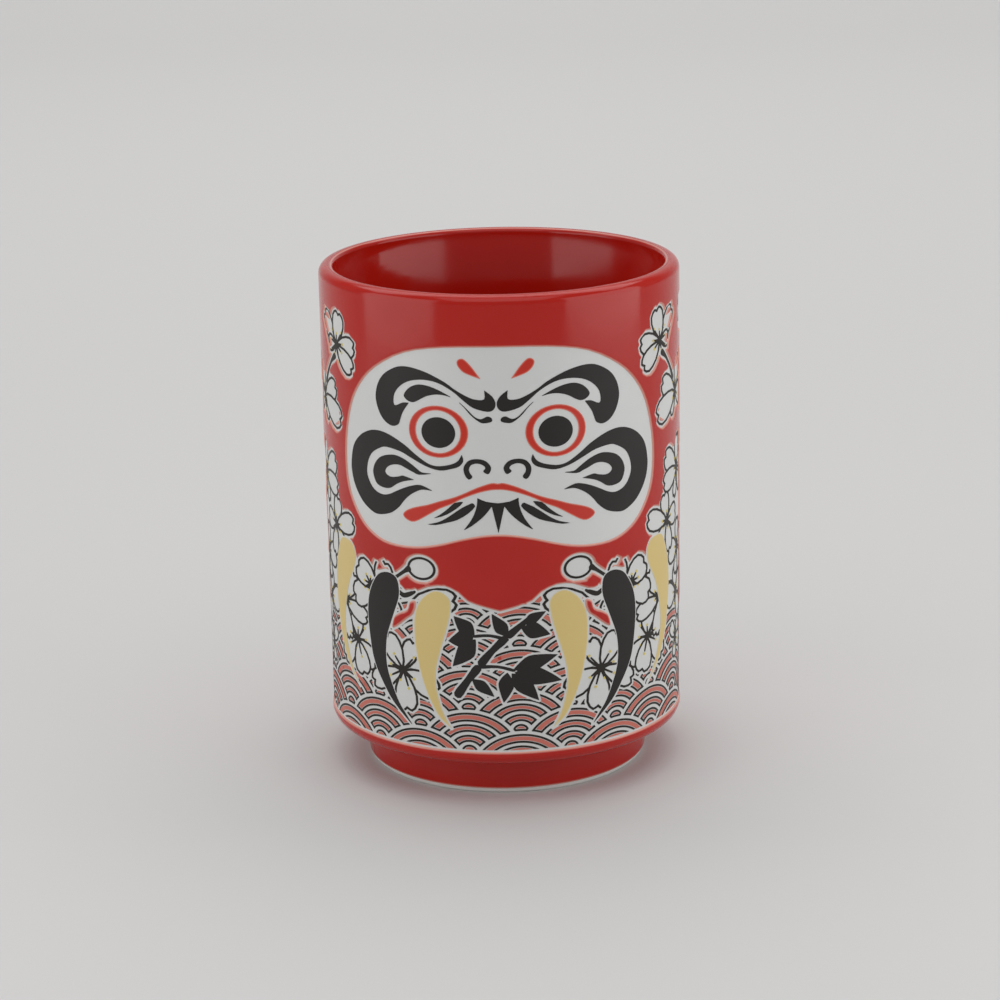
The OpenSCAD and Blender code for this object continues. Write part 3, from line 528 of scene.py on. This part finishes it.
# %% Shared node groups
def group(name, inputs, outputs):
    """An empty node group with named sockets, and its input and output nodes."""
    tree = bpy.data.node_groups.new(name, "ShaderNodeTree")
    for label, kind, default in inputs:
        socket = tree.interface.new_socket(label, in_out="INPUT", socket_type=kind)
        socket.default_value = default
    for label, kind in outputs:
        tree.interface.new_socket(label, in_out="OUTPUT", socket_type=kind)
    return tree, tree.nodes.new("NodeGroupInput"), tree.nodes.new("NodeGroupOutput")


def noise(tree, scale, detail=2.0, stretch=(1, 1, 1)):
    """A noise texture whose grain is `scale` millimetres wide."""
    where = tree.nodes.new("ShaderNodeTexCoord")
    size = tree.nodes.new("ShaderNodeMapping")
    size.inputs["Scale"].default_value = [1 / (MM * scale * s) for s in stretch]
    made = tree.nodes.new("ShaderNodeTexNoise")
    made.inputs["Scale"].default_value = 1.0
    made.inputs["Detail"].default_value = detail
    tree.links.new(where.outputs["Object"], size.inputs["Vector"])
    tree.links.new(size.outputs["Vector"], made.inputs["Vector"])
    return made.outputs["Fac"]


def spread(tree, value, low, high, to_low=0.0, to_high=1.0, smooth_step=False):
    """A value mapped from one range to another, and held at the ends."""
    node = tree.nodes.new("ShaderNodeMapRange")
    node.interpolation_type = "SMOOTHSTEP" if smooth_step else "LINEAR"
    for label, number in (("From Min", low), ("From Max", high), ("To Min", to_low), ("To Max", to_high)):
        node.inputs[label].default_value = number
    tree.links.new(value, node.inputs["Value"])
    return node.outputs["Result"]


def mixed(tree, factor, a, b):
    """A mix of two colours, each a socket or a constant."""
    node = tree.nodes.new("ShaderNodeMix")
    node.data_type = "RGBA"
    for value, socket in ((factor, node.inputs[0]), (a, node.inputs[6]), (b, node.inputs[7])):
        if isinstance(value, bpy.types.NodeSocket):
            tree.links.new(value, socket)
        else:
            socket.default_value = value
    return node.outputs[2]


EDGE_TONE, gin, gout = group(
    "Edge tone",
    [("Full", "NodeSocketColor", (0.4, 0.02, 0.01, 1)), ("Thin", "NodeSocketColor", (0.7, 0.4, 0.35, 1)),
     ("Reach", "NodeSocketFloat", 0.6)],
    [("Color", "NodeSocketColor"), ("Thinness", "NodeSocketFloat")])
edge_in = EDGE_TONE.nodes.new("ShaderNodeAttribute")
edge_in.attribute_name = "edge"
ratio = EDGE_TONE.nodes.new("ShaderNodeMath")
ratio.operation = "DIVIDE"
EDGE_TONE.links.new(edge_in.outputs["Fac"], ratio.inputs[0])
EDGE_TONE.links.new(gin.outputs["Reach"], ratio.inputs[1])
thin = spread(EDGE_TONE, ratio.outputs[0], 0.0, 1.0, 1.0, 0.0, smooth_step=True)
EDGE_TONE.links.new(mixed(EDGE_TONE, thin, gin.outputs["Full"], gin.outputs["Thin"]), gout.inputs["Color"])
EDGE_TONE.links.new(thin, gout.inputs["Thinness"])

UNEVEN, gin, gout = group(
    "Uneven firing",
    [("Color", "NodeSocketColor", (0.5, 0.5, 0.5, 1)), ("Deep", "NodeSocketColor", (0.3, 0.3, 0.3, 1)),
     ("Amount", "NodeSocketFloat", 0.3)],
    [("Color", "NodeSocketColor"), ("Broad", "NodeSocketFloat"), ("Height", "NodeSocketFloat")])
broad = spread(UNEVEN, noise(UNEVEN, 14.0), 0.35, 0.65)
share = UNEVEN.nodes.new("ShaderNodeMath")
share.operation = "MULTIPLY"
UNEVEN.links.new(broad, share.inputs[0])
UNEVEN.links.new(gin.outputs["Amount"], share.inputs[1])
UNEVEN.links.new(mixed(UNEVEN, share.outputs[0], gin.outputs["Color"], gin.outputs["Deep"]),
                 gout.inputs["Color"])
UNEVEN.links.new(broad, gout.inputs["Broad"])
UNEVEN.links.new(noise(UNEVEN, 1.6, 1.0), gout.inputs["Height"])
print("two node groups")


# %% Materials
def finish_of(name, full, thin=None, reach_mm=0.6, deep=None, amount=0.3, roughness=0.4,
              rough_spread=0.05, bump=0.1, bump_height=0.02, specular=0.5):
    """A fired finish: its colour, its colour where thin, its sheen and its surface."""
    material = bpy.data.materials.new(name)
    material.use_nodes = True
    tree = material.node_tree
    shader = tree.nodes["Principled BSDF"]
    uneven = tree.nodes.new("ShaderNodeGroup")
    uneven.node_tree = UNEVEN
    uneven.inputs["Deep"].default_value = (*(deep or [c * 0.8 for c in full]), 1)
    uneven.inputs["Amount"].default_value = amount
    if thin:
        tone = tree.nodes.new("ShaderNodeGroup")
        tone.node_tree = EDGE_TONE
        tone.inputs["Thin"].default_value = (*thin, 1)
        tone.inputs["Reach"].default_value = reach_mm
        uneven.inputs["Color"].default_value = (*full, 1)
        tree.links.new(uneven.outputs["Color"], tone.inputs["Full"])
        tree.links.new(tone.outputs["Color"], shader.inputs["Base Color"])
    else:
        uneven.inputs["Color"].default_value = (*full, 1)
        tree.links.new(uneven.outputs["Color"], shader.inputs["Base Color"])
    rough = spread(tree, uneven.outputs["Broad"], 0.0, 1.0, roughness - rough_spread,
                   roughness + rough_spread)
    tree.links.new(rough, shader.inputs["Roughness"])
    level = tree.nodes.new("ShaderNodeBump")
    level.inputs["Strength"].default_value = bump
    level.inputs["Distance"].default_value = bump_height * MM
    tree.links.new(uneven.outputs["Height"], level.inputs["Height"])
    tree.links.new(level.outputs["Normal"], shader.inputs["Normal"])
    shader.inputs["IOR"].default_value = 1.5
    shader.inputs["Specular IOR Level"].default_value = specular
    return material


RED_FULL = (0.45, 0.010, 0.004)
red_glaze = finish_of("red_glaze", RED_FULL, (0.72, 0.36, 0.29), 0.5, (0.41, 0.007, 0.003), 0.5,
                      roughness=0.14, rough_spread=0.04, bump=0.5, bump_height=0.02, specular=0.4)
white_ground = finish_of("white_ground", (0.66, 0.665, 0.655), deep=(0.62, 0.63, 0.62),
                         roughness=0.38, bump=0.4, bump_height=0.01)
black_ink = finish_of("black_ink", (0.022, 0.019, 0.018), deep=(0.018, 0.016, 0.015), roughness=0.45,
                      bump=0.5, bump_height=0.01, specular=0.25)
line_ink = finish_of("line_ink", (0.018, 0.015, 0.012), deep=(0.03, 0.024, 0.018), roughness=0.45,
                     specular=0.25)
yellow_ink = finish_of("yellow_ink", (0.68, 0.52, 0.20), (0.70, 0.60, 0.36), 0.25,
                       (0.66, 0.49, 0.18), roughness=0.42)
red_ink = finish_of("red_ink", (0.56, 0.030, 0.016), (0.68, 0.22, 0.16), 0.3, roughness=0.35,
                    specular=0.35)
wave_ink = finish_of("wave_ink", (0.46, 0.035, 0.025), (0.56, 0.16, 0.12), 0.16,
                     (0.52, 0.15, 0.11), 0.8, roughness=0.42, specular=0.3)
pollen_ink = finish_of("pollen_ink", (0.66, 0.54, 0.14), deep=(0.60, 0.46, 0.10), roughness=0.45)
porcelain = finish_of("porcelain", (0.80, 0.79, 0.76), deep=(0.74, 0.73, 0.70), roughness=0.55,
                      bump=0.6, bump_height=0.02)
clear_glaze = finish_of("clear_glaze", (0.80, 0.79, 0.77), deep=(0.77, 0.77, 0.76), roughness=0.08,
                        bump=0.4)
print(len(bpy.data.materials), "materials")

# %% [markdown]
# ## The turned body
# The porcelain is thrown on a wheel and turned, so it is one section swept round
# the axis: recess, foot ring, wall, lip, and the inside down to the floor. Its
# foot ring stays bare where it stands.

# %% Porcelain body and clear base glaze
body_section = section("porcelain_body")
body_curve, body_way = smooth(body_section, closed=False, step=0.4)
body_rows = simplify(body_curve, 0.003, 12)
turned("cup_body", [(0, body_rows[0][1]), *body_rows, (0, body_rows[-1][1])], porcelain,
       ["porcelain_body"])
base = smooth(section("base_glaze"), closed=False, step=0.4)[0]
turned("cup_base_glaze", [(0, base[0][1]), *base, (0, base[-1][1])], clear_glaze,
       ["base_glaze"])

# %% [markdown]
# The inside is glazed red. Where the glaze runs over the tight inner edge of the
# lip it thins, and the porcelain shows through as a pale line. The shading leans
# outwards towards the lip, as on a wall that opens a little there, so that the
# back of the inside mirrors the softboxes over the front of the rim. The mesh
# keeps the straight bore of the frame. Opening the wall itself would mirror them
# too, but it would change a bore that other things have to fit.

# %% Inner glaze
EASE, EASE_LOW, EASE_HIGH = 0.22, 81.0, 92.0   # slope, and the heights between which it grows
THIN_INSIDE, THIN_RATE = 0.6, 1.5              # where the coat is thinnest, and how soon it thickens
inner = simplify(smooth(section("inner_glaze"), closed=False, step=0.3)[0], 0.003, 12)
crest = np.array([reach("inner_glaze") - THIN_INSIDE, CUP_H])
thin_line = np.hypot(*(inner - crest).T) * THIN_RATE
ease = np.clip((inner[:, 1] - EASE_LOW) / (EASE_HIGH - EASE_LOW), 0, 1)
ease = EASE * ease * ease * (3 - 2 * ease) * (inner[:, 1] < CUP_H - 1)
turned("cup_inner_glaze", [(0, inner[0][1]), *inner, (0, inner[-1][1])], red_glaze,
       ["inner_glaze"], edge=[FULL_COAT, *thin_line, FULL_COAT], lean=[0, *ease, 0])

# %% [markdown]
# ## The drawing as fields
# Every printed node becomes a field. The blossoms have to hide the waves behind
# them, so their petals are filled: wherever lines and robe folds together close
# off a hole that is no bigger than a petal, the hole counts as part of them. The
# lines stop a little short of the folds, and the field bridges that gap.

# %% Fields of everything printed
INKS = [("brow", "black"), ("forehead_mark", "red"), ("eye_ring", "red"), ("pupil", "black"),
        ("nostril", "black"), ("cheek_scroll", "black"), ("mouth", "red"), ("moustache", "black"),
        ("robe_fold_inner", "yellow"), ("robe_fold_middle", "black"), ("robe_fold_outer", "yellow"),
        ("brush_bamboo", "black"), ("back_bamboo", "black")]
SIDES = ("left", "right")
BRIDGE, PETAL = 0.2, 24.0   # the gap to bridge, and the area of the largest petal
NEAR, NEAR_LINE, NEAR_GROUND = 1.4, 0.6, 2.4   # how far out each kind of field is measured
inks = {node: (field_of(node, near=NEAR), colour) for name, colour in INKS
        for node in sorted(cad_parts) if node in (name, name + "_left", name + "_right")}
folds = np.min([f for node, (f, _) in inks.items() if "fold" in node], 0)
bamboo = np.minimum(inks["brush_bamboo"][0], inks["back_bamboo"][0])
lines = {side: field_of("blossom_lines_" + side, near=NEAR_LINE) for side in SIDES}
strokes = np.min([lines["left"], lines["right"], folds], 0)
blossoms = redrawn(strokes, BRIDGE, NEAR, lambda run: not -PETAL < area(run) < 0) + BRIDGE
print(len(inks), "inks")

# %% [markdown]
# ## Waves
# The lower robe carries the wave pattern of overlapping scales. Each scale is a
# set of oval bands, and each row hides part of the row behind it. Painted from
# the back row to the front, every scale first clears its own oval and then adds
# its bands, which is how the fields are joined here.

# %% Wave field
SCALES, SCALE_ROWS, SCALE_RISE = 11, 8, 4.25   # scales round the cup, rows, and a row's rise
FIRST_SCALE = (3.6, 7.0)                        # arc and height of the first scale's middle
BANDS = [(0.0, 1.11), (2.08, 3.11), (4.11, 5.25), (6.19, 7.58)]
RIM, BROAD = 8.6, 1.2   # half-height of a scale, and its width over its height
STEEP = 0.4             # least steepness of an oval's field, near its middle
waves = np.full((ROWS, COLUMNS), 1.0)
for row in reversed(range(SCALE_ROWS)):
    for column in range(SCALES):
        x0 = FIRST_SCALE[0] + (column + row % 2 / 2) * AROUND / SCALES
        z0 = FIRST_SCALE[1] + SCALE_RISE * row
        cols = np.arange(round((x0 - RIM * BROAD - 1 - ARC[0]) / PITCH),
                         round((x0 + RIM * BROAD + 1 - ARC[0]) / PITCH))
        rows = np.nonzero(np.abs(HEIGHT - z0) < RIM + 1)[0]
        x, z = cols * PITCH + ARC[0] - x0, HEIGHT[rows, None] - z0
        b = np.hypot(x / BROAD, z) + 1e-6
        steep = np.maximum(np.hypot(x / BROAD**2, z) / b, STEEP)
        bands = np.min([np.maximum(low - b, b - high) / steep for low, high in BANDS], 0)
        spot = np.ix_(rows, cols % COLUMNS)
        waves[spot] = np.minimum(np.maximum(waves[spot], (RIM - b) / steep), bands)
print(f"{SCALES * SCALE_ROWS} scales, {AROUND / SCALES:.2f} mm apart")

# %% [markdown]
# ## White grounds
# The white print covers the face, the lower robe, the blossom sprays and the
# panel at the back. It lies straight on the porcelain, a tenth of a millimetre
# thick, and reaches a little way under the edge of the red glaze. Round the
# robe and the sprays it follows the drawing with a narrow white halo.

# %% Grounds
TUCK = 0.12    # how far a ground reaches under the glaze
HALO = 0.42    # white left round the drawing
TRIM = 1.8     # how far in from its own edge a ground may be cut back to that halo
LINE = 0.4     # width of a wave's outline
face = field_of("face_ground", near=NEAR_GROUND)
robe = field_of("robe_ground", near=NEAR_GROUND)
back = field_of("back_ground", near=NEAR_GROUND)
sprays = field_of("spray_ground_left", "spray_ground_right", near=NEAR_GROUND)
drawn = np.min([folds, bamboo, blossoms, waves - LINE / 2], 0)
robe = np.maximum(robe, np.minimum(drawn - HALO, TRIM + robe))
sprays = np.maximum(sprays, np.minimum(blossoms - HALO, TRIM + sprays))
grounds = [("face_ground", face, ["face_ground"]), ("robe_ground", robe, ["robe_ground"]),
           ("back_ground", back, ["back_ground"]),
           ("spray_ground", sprays, ["spray_ground_left", "spray_ground_right"])]
for name, f, nodes in grounds:
    pad("cup_" + name, f - TUCK, white_ground, nodes, WALL_R, GROUND_R, 1.6)
windows = redrawn(np.min([f for _, f, _ in grounds], 0), 0, NEAR_GROUND)

# %% [markdown]
# ## Drawn features
# Each feature is ink on the ground: satin black for the strokes, red for the
# mouth, the eye rings and the forehead marks, yellow for two folds on each side.

# %% Face and robe inks
SINK = 0.02   # how far ink reaches into the ground under it
FINISHES = {"black": black_ink, "red": red_ink, "yellow": yellow_ink}
for node, (f, colour) in inks.items():
    levels = (0.0,) if colour == "black" else (0.0, 0.12, 0.3)
    pad("ink_" + node, f, FINISHES[colour], [node], GROUND_R - SINK, INK_R, 1.8, levels)

# %% [markdown]
# ## Fine lines
# The sprays are drawn in a fine black line, with pollen dots in yellow. The
# waves are drawn in the same line round each band, and the bands are filled in
# red with a hair of white left beside the line. Both stop short of whatever lies
# over them.

# %% Blossoms and waves
for side in SIDES:
    pad("blossom_lines_" + side, lines[side], line_ink, ["blossom_lines_" + side],
        GROUND_R - SINK, INK_R, 1.2)
    pad("blossom_pollen_" + side, field_of("blossom_pollen_" + side, near=NEAR_LINE), pollen_ink,
        ["blossom_pollen_" + side], GROUND_R - SINK, INK_R, 1.2)
GAP = 0.12   # white between a wave's outline and its filling
clear = np.max([robe + HALO, HALO - folds, HALO - blossoms, HALO - bamboo], 0)
pad("wave_lines", np.maximum(np.abs(waves) - LINE / 2, clear), line_ink, ["wave_scales"],
    GROUND_R - SINK, INK_R, 1.2)
pad("wave_fills", np.maximum(waves + LINE / 2 + GAP, clear), wave_ink, ["wave_scales"],
    GROUND_R - SINK, INK_R, 1.2)

# %% [markdown]
# ## The red glaze
# The glaze is one skin from the foot to the lip, with openings where the print
# sheds it. At each opening it rises from the ground in a rounded edge, so its
# height follows the distance to the opening. Its own section is the porcelain's
# outside, from the wiped foot to the middle of the lip.

# %% Outer glaze
RISE = 0.55    # width of the rounded edge
LEVELS = (0.0, 0.06, 0.16, 0.32, 0.55, 1.0, 1.8)
WIPED = 1.0    # the foot is wiped bare up to here
STEP = 0.04    # distance over which the glaze's slope is taken
foot_r, seam_r = body_section[body_section[:, 1] < WIPED, 0].max(), reach("inner_glaze")
first = int(np.nonzero((np.abs(body_curve[:, 0] - foot_r) < 0.01) & (body_curve[:, 1] > WIPED))[0][0])
last = int(np.nonzero((body_curve[:, 0] > seam_r) & (body_curve[:, 1] > CUP_H - 1))[0][-1])
glazed = np.vstack([[foot_r, WIPED], body_curve[first:last + 1], [seam_r, body_curve[last][1]]])
ways = np.vstack([body_way[first], body_way[first:last + 1], body_way[last]])
along = np.append(0, np.cumsum(np.hypot(*np.diff(glazed, axis=0).T)))
upright = np.nonzero(np.abs(glazed[:, 0] - WALL_R) < 1e-3)[0]
along += glazed[upright[0], 1] - along[upright[0]]
wall_s = (along[upright[0]], along[upright[-1]])
span = (along[0], along[-1])


def glaze_depth(arc, s):
    """Distance from the nearest edge of the glaze."""
    return np.minimum(sample(windows, arc, s), s - span[0])


def glaze_height(arc, s):
    """How far the glaze stands on the porcelain: a rounded edge, then its full coat."""
    part = 1 - np.clip(glaze_depth(arc, s) / RISE, 0, 1)
    low = GROUND_R - WALL_R
    return low + (COAT - low) * np.sqrt(1 - part * part)


curved = [s for s in along[np.isin(glazed[:, 0], simplify(glazed, 0.004, 8)[:, 0])]
          if s <= wall_s[0] or s >= wall_s[1]]
edge_rows = [span[0] + level for level in LEVELS[1:]]
co, tris = sheet(-windows, LEVELS, 1.3, span, sorted({*curved[1:-1], *edge_rows}))
arc, s = co.T
turn = arc / CUP_R
out2 = np.stack([np.interp(s, along, ways[:, 1]), -np.interp(s, along, ways[:, 0])], 1)
out2 /= np.hypot(*out2.T)[:, None]
spot = np.stack([np.interp(s, along, glazed[:, 0]), np.interp(s, along, glazed[:, 1])], 1)
rise_s = (glaze_height(arc, s + STEP) - glaze_height(arc, s - STEP)) / (2 * STEP)
rise_a = (glaze_height(arc + STEP, s) - glaze_height(arc - STEP, s)) / (2 * STEP)


def around_axis(rz, sideways=0.0):
    """Points or directions in the half-plane of each vertex, turned to their place."""
    return np.stack([rz[:, 0] * np.sin(turn) + sideways * np.cos(turn),
                     -rz[:, 0] * np.cos(turn) + sideways * np.sin(turn), rz[:, 1]], 1)


tangent = np.stack([-out2[:, 1], out2[:, 0]], 1)
facing = around_axis(out2 - rise_s[:, None] * tangent, -rise_a)
facing /= np.linalg.norm(facing, axis=1)[:, None]
outer = around_axis(spot + glaze_height(arc, s)[:, None] * out2)
bare = around_axis(spot)
shell("cup_outer_glaze", tris, outer, bare, facing, red_glaze, ["outer_glaze"],
      np.clip(glaze_depth(arc, s), 0, None))

# %% [markdown]
# ## Light and camera
# The cup stands on a pale paper sweep. Two softboxes stand on it close to the cup,
# left and right, because only a light that reaches down to the table shows in an
# upright wall seen from above. One soft light over the sweep evens out its far
# end, another over the front lights the face, and the room fills in the rest.

# %% Floor and lights
def stage_mesh(name, co, faces, material):
    """A part of the studio."""
    mesh = bpy.data.meshes.new(name)
    mesh.from_pydata(co, [], faces)
    mesh.polygons.foreach_set("use_smooth", [True] * len(faces))
    mesh.materials.append(material)
    obj = bpy.data.objects.new(name, mesh)
    bpy.context.scene.collection.objects.link(obj)
    return obj


paper = bpy.data.materials.new("sweep_paper")
paper.use_nodes = True
paper_shader = paper.node_tree.nodes["Principled BSDF"]
paper_shader.inputs["Base Color"].default_value = (0.60, 0.595, 0.588, 1)
paper_shader.inputs["Roughness"].default_value = 0.7
FLAT, BEND, TALL, WIDE = 1.1, 0.7, 2.2, 3.0
curve = [(-1.6, 0.0), *[(FLAT + BEND * math.sin(a), BEND - BEND * math.cos(a))
                        for a in np.linspace(0, math.pi / 2, 24)], (FLAT + BEND, TALL)]
sweep = [(x, y, z) for y, z in curve for x in (-WIDE, WIDE)]
stage_mesh("sweep", sweep, [(2 * i, 2 * i + 1, 2 * i + 3, 2 * i + 2) for i in range(len(curve) - 1)],
           paper)


def softbox(name, azimuth, away, width, height, base, power):
    """A tall panel of light that faces the cup. Azimuth 0 is in front, 90 to its right."""
    light = bpy.data.lights.new(name, "AREA")
    light.shape, light.size, light.size_y, light.energy = "RECTANGLE", width, height, power
    obj = bpy.data.objects.new(name, light)
    a = math.radians(azimuth)
    obj.location = (away * math.sin(a), -away * math.cos(a), base + height / 2)
    target = Vector((0, 0, base + height / 2))
    obj.rotation_euler = (target - obj.location).to_track_quat("-Z", "Y").to_euler()
    bpy.context.scene.collection.objects.link(obj)


softbox("softbox_left", -64, 0.38, 0.36, 0.34, 0.006, 0.50)
softbox("softbox_right", 70, 0.38, 0.40, 0.34, 0.006, 0.60)


def overhead(name, place, tilt, width, depth, power):
    """A soft light above the table, tilted about the camera's sideways axis."""
    light = bpy.data.lights.new(name, "AREA")
    light.shape, light.size, light.size_y, light.energy = "RECTANGLE", width, depth, power
    obj = bpy.data.objects.new(name, light)
    obj.location, obj.rotation_euler = place, (math.radians(tilt), 0, 0)
    bpy.context.scene.collection.objects.link(obj)


overhead("backdrop_light", (0, 0.75, 1.3), 18, 2.4, 1.4, 18.0)
overhead("key_light", (0, -0.7, 1.3), 28, 1.4, 1.2, 5.0)
world = bpy.data.worlds.new("studio")
world.use_nodes = True
world.node_tree.nodes["Background"].inputs["Color"].default_value = (0.97, 0.97, 0.98, 1)
world.node_tree.nodes["Background"].inputs["Strength"].default_value = 0.30
bpy.context.scene.world = world

# %% [markdown]
# The camera is a long lens 60 cm away that looks down at the face by about 16
# degrees. It stands a little to one side, and it isn't quite level.

# %% Camera
DISTANCE, TILT, AXIS_H = 0.602316, math.radians(15.78), 0.052
ROLL, SIDE = -0.01874, math.radians(1.555)
AIM = Vector((-0.000591, 0, 0.051395))
LENS = 109.36
eye = Vector((0, -DISTANCE * math.cos(TILT), DISTANCE * math.sin(TILT) + AXIS_H))
forward = (AIM - eye).normalized()
right = forward.cross(Vector((0, 0, 1))).normalized()
up = right.cross(forward)
right, up = (math.cos(ROLL) * right + math.sin(ROLL) * up, -math.sin(ROLL) * right + math.cos(ROLL) * up)
camera = bpy.data.objects.new("camera", bpy.data.cameras.new("camera"))
camera.data.lens = LENS
turned_to = Matrix((right, up, -forward)).transposed().to_4x4()
camera.matrix_world = Matrix.Rotation(SIDE, 4, "Z") @ Matrix.Translation(eye) @ turned_to
bpy.context.scene.collection.objects.link(camera)
bpy.context.scene.camera = camera
bpy.context.scene.view_settings.view_transform = "Standard"
